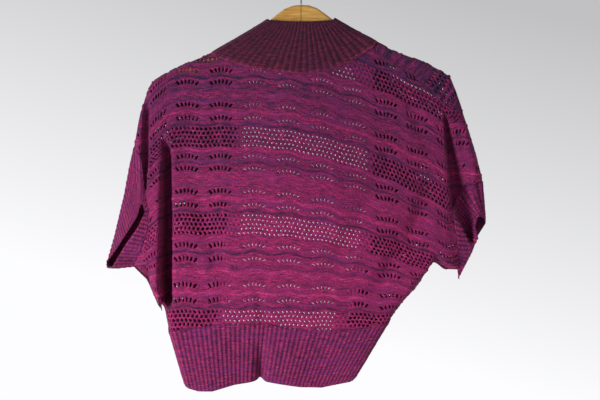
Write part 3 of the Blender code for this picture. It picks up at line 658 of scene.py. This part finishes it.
LEFT_UNDERARM = [(-0.2501, -0.4617), (-0.2390, -0.4612), (-0.2279, -0.4600), (-0.2278, -0.4740),
                 (-0.2205, -0.5022), (-0.2042, -0.5184)]
RIGHT_UNDERARM = [(0.1524, -0.5125), (0.1702, -0.4933), (0.1850, -0.4720), (0.1975, -0.4520),
                  (0.2146, -0.4655), (0.2353, -0.4660)]
BACK_LOW = LEFT_UNDERARM + WAIST_SEAM + RIGHT_UNDERARM


def underarm_round(x, z):
    """Share of the depth kept near the level underarm seams, where back and front come together."""
    line = np.where(x > 0.0, read_table(RIGHT_UNDERARM, x), read_table(LEFT_UNDERARM, x))
    reach = np.maximum(soft_step((x - 0.172) / 0.026), soft_step((-x - 0.219) / 0.009))
    return 1.0 - reach * (1.0 - quarter_round((z - line) / 0.012))


# Deep troughs: the share of depth each takes, and from the top down its fall, middle x and half width
TROUGHS = [(1.55, [(0.262, -0.2050, 0.0030), (0.290, -0.2000, 0.0065), (0.400, -0.1985, 0.0080),
                   (0.480, -0.1990, 0.0085), (0.528, -0.1960, 0.0070)]),
           (1.50, [(0.200, -0.2290, 0.0030), (0.240, -0.2310, 0.0048), (0.300, -0.2330, 0.0055),
                   (0.360, -0.2350, 0.0040)]),
           (1.65, [(0.225, 0.2140, 0.0020), (0.245, 0.2165, 0.0040), (0.289, 0.2242, 0.0072),
                   (0.341, 0.2330, 0.0115), (0.370, 0.2370, 0.0130), (0.395, 0.2420, 0.0140)])]


def trough_share(x, z):
    """Share of the depth that the deep troughs take: steep walls and a round floor, soft at the top."""
    push = np.zeros_like(x)
    for share, line in TROUGHS:
        middle = read_table(line, -z)
        half = read_table(line, -z, 2)
        window = soft_step((-z - line[0][0]) / 0.035) * soft_step((line[-1][0] + z) / 0.022)
        push = np.maximum(push, share * window * np.exp(-((x - middle) / half) ** 4))
    return push


def back_depth(x, z):
    """The back's depth: the hanging form less its folds, turned in round a small radius at both sides."""
    share = np.maximum(fold_share(x, z, BACK_FOLDS), trough_share(x, z))
    full = -wing_depth(x, z) * (1.0 - share) - SEAM / 2.0
    full = full + crease_push(x, z, BACK_CREASES) * (1.0 - np.minimum(share, 1.0))
    full = np.where(share > 1.0, full, np.minimum(full, -SEAM / 2.0))
    left_edge, right_edge = back_left_y(z) - EDGE_OFFSET, back_right_y(z) - EDGE_OFFSET
    under = underarm_round(x, z)
    kept = np.minimum(quarter_round((x - back_left_x(z)) / SIDE_ROUND), under)
    y = left_edge + (full - left_edge) * kept
    kept = np.minimum(quarter_round((back_right_x(z) - x) / SIDE_ROUND), under)
    y = right_edge + (y - right_edge) * kept
    return np.where(shoulder_line(x) - z < 1e-6, -SEAM / 2.0, y)


back_knit = yarn("space_dyed_lace_knit", LACE_SHADES, "#7E2870", 0.19, 0.05)
SHOULDER_SEAM = [(0.1095, -0.1440), (0.1465, -0.1632), (0.1909, -0.1928), (0.2131, -0.2224),
                 (0.2260, -0.2290), (0.2420, -0.2290)]


def back_edge(x):
    """Top of the back: on the right the shoulder seam has rolled down behind the shoulder."""
    seam = read_table(SHOULDER_SEAM, x)
    return np.where(x > SHOULDER_SEAM[0][0], np.minimum(seam, back_top(x)), back_top(x))


def eyelets_shut(x, z):
    """How far the back's eyelets are drawn shut: wholly in the troughs, and partly in the middle."""
    left_edge = np.interp(-z, [0.25, 0.535], [-0.096, -0.124])
    right_edge = np.interp(-z, [0.25, 0.45, 0.535], [0.110, 0.104, 0.070])
    middle = soft_step((x - left_edge) / 0.004) * soft_step((right_edge - x) / 0.004)
    return 1.0 if float(trough_share(np.array(x), z)) > 0.25 else 0.9 * float(middle)


# The back's yarn is painted darker towards the shoulders and lighter towards the waist: painted shade
# above, painted light below.
cloth = lace_sheet(back_depth, back_edge,
                   lambda x: read_table(BACK_LOW, x),
                   back_left_x, back_right_x, lambda z: ORIGIN_X, (-90, 150), -1.0, 0.0,
                   lambda z: np.interp(-z, [0.14, 0.22, 0.38, 0.56], [-0.75, -0.40, 0.10, 0.25]),
                   eyelets_shut)
back = finish_cloth("knitted_back", *cloth, back_knit, "lace_knit", "back_panel", LACE_THICKNESS)


# Fronts: two lace panels, each with the front half of its sleeve, open along the middle.
# The photograph doesn't show them, so they hang as the back does, in a few soft creases, with their
# courses a little higher than the back's.
FRONT_RAISED = 0.030
FRONT_SHUT = 0.85
FRONT_TONE = 0.05
LEFT_SLEEVE_X = -0.222
BAND_LOW_LEFT_X = -0.182
BAND_LOW_RIGHT_X = 0.116


def front_edges(edges, band, side):
    """One front's depth at a place, and its outer edge and band seam by height, as functions."""
    outer_x, outer_y = edge_by_height(edges, 1), edge_by_height(edges, 3)
    shares = np.linspace(0.0, 1.0, 80)
    seam_x = read_table(band, shares)
    seam_z = shoulder_line(seam_x) * (1.0 - shares) + FRONT_WAIST_Z * shares
    creases = [(side * 0.205, -0.230, side * 0.190, -0.420, 0.012, 0.0030),
               (side * 0.225, -0.300, side * 0.185, -0.480, 0.010, 0.0040),
               (side * 0.180, -0.430, side * 0.160, -0.535, 0.010, 0.0020)]

    def depth(x, z):
        full = wing_depth(x, z) + SEAM / 2.0
        full = np.maximum(full - crease_push(x, z, creases), SEAM / 2.0)
        edge = outer_y(z) + EDGE_OFFSET
        kept = np.minimum(quarter_round(np.abs(x - outer_x(z)) / SIDE_ROUND), underarm_round(x, z))
        y = edge + (full - edge) * kept
        return np.where(shoulder_line(x) - z < 1e-6, SEAM / 2.0, y)

    return depth, outer_x, lambda z: np.interp(-z, -seam_z, seam_x)


LEFT_FRONT_LOW = ([(-0.2915, -0.4548), (-0.2797, -0.4652)] + LEFT_UNDERARM
                  + [WAIST_SEAM[0], (BAND_LOW_LEFT_X, FRONT_WAIST_Z)])
RIGHT_FRONT_LOW = [(BAND_LOW_RIGHT_X, FRONT_WAIST_Z), WAIST_SEAM[-1]] + RIGHT_UNDERARM
depth, outer_x, seam_x = front_edges(FRONT_LEFT, BAND_LEFT, -1.0)
cloth = lace_sheet(depth, shoulder_line,
                   lambda x: read_table(LEFT_FRONT_LOW, x),
                   outer_x, seam_x, seam_x, (-72, 22), 1.0, FRONT_RAISED,
                   lambda z: np.full_like(z, FRONT_TONE),
                   lambda x, z: 1.0 if x < LEFT_SLEEVE_X else FRONT_SHUT)
front_knit = yarn("space_dyed_front_lace_knit", LACE_SHADES, "#7E2870", 0.19, 0.05)
front_left = finish_cloth("knitted_front_left", *cloth, front_knit, "lace_knit", "front_left",
                          LACE_THICKNESS)

depth, outer_x, seam_x = front_edges(FRONT_RIGHT, BAND_RIGHT, 1.0)
cloth = lace_sheet(depth, shoulder_line,
                   lambda x: read_table(RIGHT_FRONT_LOW, x),
                   seam_x, outer_x, seam_x, (-22, 72), 1.0, FRONT_RAISED,
                   lambda z: np.full_like(z, FRONT_TONE),
                   lambda x, z: FRONT_SHUT)


def shoulder_patch():
    """Points, faces, stitch places and tones of the shoulder of the right front, over the hanger.

    Its courses run from the rolled shoulder seam up over the edge, on the back's depth, and the seam
    stands up as a small ridge.
    """
    rows, columns = 44, 12
    along = np.linspace(0.0, 1.0, rows)[:, None]
    across = np.linspace(0.0, 1.0, columns)[None, :]
    seam_shares = [0.0, 0.26, 0.58, 0.78, 0.88, 1.0]
    low_x = np.interp(along, seam_shares, column(SHOULDER_SEAM, 0))
    low_z = np.interp(along, seam_shares, column(SHOULDER_SEAM, 1))
    high_x = np.interp(along, [0.0, 0.30, 0.62, 0.80, 1.0], [0.1125, 0.1700, 0.2150, 0.2330, 0.2422])
    sleeve_edge = [(0.2235, -0.1784), (0.2324, -0.2002), (0.2422, -0.2290)]
    high_z = np.where(high_x < sleeve_edge[0][0], shoulder_line(high_x), read_table(sleeve_edge, high_x))
    x = low_x + (high_x - low_x) * across
    z = low_z + (high_z - low_z) * across
    patch = np.stack([x, back_depth(x, z) - 0.0004, z], axis=2)
    on_top = z[:, -1] > shoulder_line(x[:, -1]) - 1e-5
    patch[:, -1, 1] = np.where(on_top, 0.0, patch[:, -1, 1])
    normals = grid_normals(patch, 1.0)
    normals = normals * -np.sign(normals[..., 1:2] + 1e-9)
    for beside, ridge in enumerate((0.0012, 0.0006)):
        patch[:, beside] += normals[:, beside] * ridge
    # Painted shade: each row's tone is set about 0.7 lower, like the back's painted-dark top; the rows
    # differ at random.
    tones = np.repeat(-0.70 + 0.5 * chance.standard_normal(rows)[:, None], columns, axis=1)
    eyelets = [(row, place, 0.44, 0.60, 0.0)
               for row in range(24, 42, 2) for place in range(1 + row // 2 % 2, 11, 2)]
    fall = list(-0.5 - 0.0032 * np.arange(rows))
    return cut_lace(patch, normals, np.arange(columns), fall, tones, eyelets, -1.0)


upper = shoulder_patch()
cloth = (np.vstack([cloth[0], upper[0]]),
         cloth[1] + [tuple(i + len(cloth[0]) for i in face) for face in upper[1]],
         np.vstack([cloth[2], upper[2]]), np.concatenate([cloth[3], upper[3]]))
front_right = finish_cloth("knitted_front_right", *cloth, front_knit, "lace_knit", "front_right",
                           LACE_THICKNESS)


# Ribs: knit and purl columns of equal width, which draw in, so each stands up as a round cord.
POINTS_A_RIB = 8
RIB_HEIGHT = 0.0016
SEAM_ROLL = 0.0009
STITCH_ROUGHNESS = 0.00012


def ribbed_sheet(seam, free, pitch, rows, shape=None, closed=False, turned=1.0, seam_tone=0.0):
    """Points, faces, stitch places and tones of a ribbed strip from its seam to its free edge.

    A point is the seam point plus its share of the way to the free one. shape then sets its depth.
    The relief is a raised cosine across each rib, flattened at both edges of the strip; the seam edge
    stands up a little as a roll. seam_tone lightens the row at the seam.
    """
    both = np.hstack([seam, free])
    if closed:
        both = np.vstack([both, both[:1]])
    middle = (both[:, :3] + both[:, 3:]) / 2.0
    length = np.concatenate([[0.0], np.cumsum(np.linalg.norm(np.diff(middle, axis=0), axis=1))])
    ribs = max(3, round(length[-1] / pitch))
    count = ribs * POINTS_A_RIB + 1
    places = np.linspace(0.0, length[-1], count)
    line = np.stack([np.interp(places, length, both[:, k]) for k in range(6)], axis=1)
    shares = np.linspace(0.0, 1.0, rows + 1)[:, None]
    grid = line[None, :, :3] + (line[None, :, 3:] - line[None, :, :3]) * shares[..., None]
    if shape is not None:
        grid = shape(grid, shares)
    normals = grid_normals(grid, turned)
    if closed:
        ends = unit(normals[:, 0] + normals[:, -1])
        normals[:, 0], normals[:, -1] = ends, ends
    spacing = np.linalg.norm(np.gradient(grid, axis=1), axis=2) * POINTS_A_RIB
    around = np.tile(2.0 * math.pi * np.arange(count) / POINTS_A_RIB, (rows + 1, 1))
    rib = (0.5 - 0.5 * np.cos(around)) ** 0.7
    ends = np.minimum(1.0, np.minimum(shares, 1.0 - shares) * rows / 1.5 + 0.35)
    height = np.minimum(RIB_HEIGHT, 0.25 * spacing) * rib * ends
    height = height + SEAM_ROLL * np.exp(-(shares * rows / 1.2) ** 2)
    height = height + STITCH_ROUGHNESS * chance.standard_normal(height.shape)
    grid = grid + normals * height[..., None]
    deep = np.linalg.norm(line[:, 3:] - line[:, :3], axis=1)
    uv = np.stack([np.broadcast_to(places, (rows + 1, count)), -shares * deep[None, :]], axis=2)
    # Painted shade: the tone is darker in the grooves between the ribs, by the same profile that sinks
    # them.
    tone = 0.30 - 1.3 * (1.0 - rib) + seam_tone * np.exp(-(shares * rows / 1.1) ** 2)
    points, uv, tone = grid.reshape(-1, 3), uv.reshape(-1, 2), tone.ravel()
    corners = [row * count + k for row in range(rows) for k in range(count - 1)]
    faces = [(i, i + count, i + count + 1, i + 1) for i in corners]
    if turned < 0.0:
        faces = [tuple(reversed(face)) for face in faces]
    return points, faces, uv, tone


# Collar: a rib band round the back neck, standing against the hanger's crown.
# Its yarn is the ribs' yarn painted darker, the shade at the top of the garment, and it slumps a little
# at its right end, as photographed.
NECK_POINTS = 90
NECK_END_GAP = 0.0005
JOIN_STEPS = 7.0
neck_x = np.linspace(NECK_LEFT_X + NECK_END_GAP, NECK_RIGHT_X - NECK_END_GAP, NECK_POINTS)
share = np.linspace(0.0, 1.0, NECK_POINTS)
neck_seam = np.stack([neck_x, -body_depth(neck_x, neck_line(neck_x)), neck_line(neck_x)], axis=1)
free_x = -COLLAR_HALF_TOP + 2.0 * COLLAR_HALF_TOP * share
free_z = np.minimum(COLLAR_TOP_Z - COLLAR_SAG * np.sin(math.pi * share), shoulder_line(free_x))
collar_free = np.stack([free_x, -body_depth(free_x, free_z), free_z], axis=1)


def over_shoulder(x, z, nearness):
    """Height drawn up to the shoulder line, so that collar and bands meet over the hanger."""
    return np.minimum(z + (shoulder_line(x) - z) * nearness, shoulder_line(x))


def collar_shape(grid, shares):
    """Lies on the hanging form, rolls out a little at its free edge, and bumps out at the right."""
    steps = np.arange(grid.shape[1])
    nearness = np.clip(1.0 - np.minimum(steps, steps[::-1]) / JOIN_STEPS, 0.0, 1.0)
    x = grid[..., 0]
    z = over_shoulder(x, grid[..., 2], nearness)
    y = -body_depth(x, z) - BAR_CLEARANCE - 0.0015 * soft_step((shares - 0.7) / 0.3) * (1.0 - nearness)
    y = y - 0.0022 * np.exp(-((x - 0.104) / 0.010) ** 2) * np.exp(-((z + 0.132) / 0.014) ** 2)
    return np.stack([x, y, z], axis=2)


# Painted shade: the collar's yarn is a darker copy of the ribs', its violet darker too.
collar_knit_painted_dark = yarn("space_dyed_collar_rib_knit_painted_dark", COLLAR_SHADES_PAINTED_DARK, "#4A1840", 0.15, 0.04)
cloth = ribbed_sheet(neck_seam, collar_free, COLLAR_PITCH, 26, collar_shape, seam_tone=2.2)
collar = finish_cloth("knitted_collar", *cloth, collar_knit_painted_dark, "rib_knit", "collar", RIB_THICKNESS)


# Front bands: ribs picked up along each front edge, carried on from the collar down to the hem.
# They hang apart, so light comes through the back between them.
def front_band(name, table, node_name, turned):
    """One band between its seam and its free edge, on the hanging form, from shoulder to hem."""
    shares = np.linspace(0.0, BAND_END_SHARE, 140)
    kept = np.minimum(shares, 1.0)
    below = np.maximum(shares - 1.0, 0.0) / (BAND_END_SHARE - 1.0)
    lines = []
    for value in (1, 2):
        x = read_table(table, shares, value)
        z = shoulder_line(x) * (1.0 - kept) + FRONT_WAIST_Z * kept + (FRONT_HEM_Z - FRONT_WAIST_Z) * below
        lines.append(np.stack([x, np.zeros_like(x), z], axis=1))

    def shape(grid, across):
        nearness = np.clip(1.0 - np.arange(grid.shape[1]) / JOIN_STEPS, 0.0, 1.0)
        x = grid[..., 0]
        z = over_shoulder(x, grid[..., 2], nearness)
        y = body_depth(x, z) + BAR_CLEARANCE - 0.0035 * soft_step((-0.52 - z) / 0.10)
        wave = 0.0016 * np.sin(z / 0.021)
        y = y + wave * soft_step((across - 0.3) / 0.7) * soft_step((-0.16 - z) / 0.05)
        return np.stack([x, y, z], axis=2)

    cloth = ribbed_sheet(lines[0], lines[1], COLLAR_PITCH, 14, shape, turned=turned)
    # The bands take the collar's yarn, painted darker as shade.
    band = finish_cloth(name, *cloth, collar_knit_painted_dark, "rib_knit", node_name, RIB_THICKNESS)


front_band("knitted_band_left", BAND_LEFT, "front_band_left", 1.0)
front_band("knitted_band_right", BAND_RIGHT, "front_band_right", -1.0)


# Waistband: a deep rib from one front band round the back to the other, drawn in at the hem.
# One deep fold stands left of the middle of the back, and the hem waves slightly.
HEM_POINTS = 12
left_corner, right_corner = WAIST_SEAM[0], WAIST_SEAM[-1]
back_x = np.linspace(left_corner[0], right_corner[0], 200)
back_z = read_table(WAIST_SEAM, back_x)
left_x = np.linspace(BAND_LOW_LEFT_X, left_corner[0], HEM_POINTS)[:-1]
left_z = read_table([left_corner, (BAND_LOW_LEFT_X, FRONT_WAIST_Z)], left_x)
right_x = np.linspace(right_corner[0], BAND_LOW_RIGHT_X, HEM_POINTS)[1:]
right_z = read_table([(BAND_LOW_RIGHT_X, FRONT_WAIST_Z), right_corner], right_x)
runs = []
for x, z, depth in ((left_x, left_z, front_edges(FRONT_LEFT, BAND_LEFT, -1.0)[0]),
                    (back_x, back_z, back_depth),
                    (right_x, right_z, front_edges(FRONT_RIGHT, BAND_RIGHT, 1.0)[0])):
    runs.append(np.stack([x, depth(x, z + 1e-4), z], axis=1))
waist = np.concatenate(runs)
hem_x = np.interp(waist[:, 0], [left_corner[0], right_corner[0]], [HEM[0][0], HEM[-1][0]])
hem_z = read_table(HEM, hem_x)
notch = HEM_NOTCH_DEPTH * np.exp(-((hem_x - HEM_NOTCH_X) / HEM_NOTCH_HALF_WIDTH) ** 2)
hem_y = waist[:, 1] * HEM_DEPTH_SHARE + np.where(waist[:, 1] < -EDGE_OFFSET, notch, 0.0)
hem = np.stack([hem_x, hem_y, hem_z], axis=1)


def waist_shape(grid, shares):
    """Bulges a little below the seam, and drops into the fold towards the hem."""
    y = grid[..., 1] * (1.0 + 0.05 * np.sin(math.pi * shares))
    fold = 0.009 * soft_step((shares - 0.15) / 0.6) * np.exp(-((grid[..., 0] + 0.0620) / 0.008) ** 2)
    swell = 0.0022 * np.sin(grid[..., 0] / 0.017) * soft_step(shares / 0.5)
    y = np.where(y < -EDGE_OFFSET, y + fold + swell, y)
    return np.stack([grid[..., 0], y, grid[..., 2]], axis=2)


waist_knit = yarn("space_dyed_waist_rib_knit", RIB_SHADES, "#80277A", 0.15, 0.06)
cloth = ribbed_sheet(waist, hem, RIB_PITCH, 22, waist_shape)
waistband = finish_cloth("knitted_waistband", *cloth, waist_knit, "rib_knit", "waistband", RIB_THICKNESS)


# Cuffs: short rib tubes on the sleeves. The left one hangs nearly flat and shows its mouth as a slit;
# the right one is folded in by the trough that comes down its sleeve.
CUFF_POINTS = 40


def cuff(back_table, front_table, span, rims):
    """One cuff from the sleeve's edge loop, back layer down and front layer up, to its free rim."""
    loop = []
    for layer, table, offset, shares in (
            ("back", back_table, -EDGE_OFFSET, np.linspace(span[0], span[1], CUFF_POINTS)),
            ("front", front_table, EDGE_OFFSET, np.linspace(span[1], span[0], CUFF_POINTS)[1:-1])):
        own = sorted([row for row in rims if row[0] == layer or row[1] in span], key=lambda row: row[1])
        for part in shares:
            x, z, y = [float(read_table(table, part, k)) for k in (1, 2, 3)]
            ends = min(part - span[0], span[1] - part) / 0.03
            y += offset * min(1.0, ends)
            low_x, low_z, low_y = [float(read_table([row[1:] for row in own], part, k))
                                   for k in (1, 2, 3)]
            loop.append([x, y, z, low_x, low_y, low_z])
    loop = np.array(loop)
    return loop[:, :3], loop[:, 3:]


cuff_knit = yarn("space_dyed_cuff_rib_knit", RIB_SHADES, "#80277A", 0.15, 0.06)
seam, rim = cuff(BACK_LEFT, FRONT_LEFT, CUFF_SPAN["left"], CUFF_LEFT)
cloth = ribbed_sheet(seam, rim, RIB_PITCH, 16, closed=True, turned=1.0)
cuff_left = finish_cloth("knitted_cuff_left", *cloth, cuff_knit, "rib_knit", "cuff_left", RIB_THICKNESS)
seam, rim = cuff(BACK_RIGHT, FRONT_RIGHT, CUFF_SPAN["right"], CUFF_RIGHT)


def cuff_fold(grid, shares):
    """Carries the sleeve's deep trough on between the cuff's two layers, down to its mouth."""
    x, y, z = grid[..., 0], grid[..., 1], grid[..., 2]
    middle = np.interp(-z, [0.340, 0.385, 0.425], [0.2390, 0.2440, 0.2530])
    half = np.interp(-z, [0.340, 0.385, 0.425], [0.0110, 0.0135, 0.0040])
    window = soft_step((0.430 + z) / 0.012)
    share = window * np.exp(-((x - middle) / half) ** 4)
    edge = window * np.exp(-((x - middle - half - 0.006) / 0.006) ** 2)
    return np.stack([x, np.where(y < 0.009, y + (0.009 - y) * share - 0.0065 * edge, y), z], axis=2)


cloth = ribbed_sheet(seam, rim, RIB_PITCH, 16, cuff_fold, closed=True, turned=-1.0)
cuff_right = finish_cloth("knitted_cuff_right", *cloth, cuff_knit, "rib_knit", "cuff_right",
                          RIB_THICKNESS)
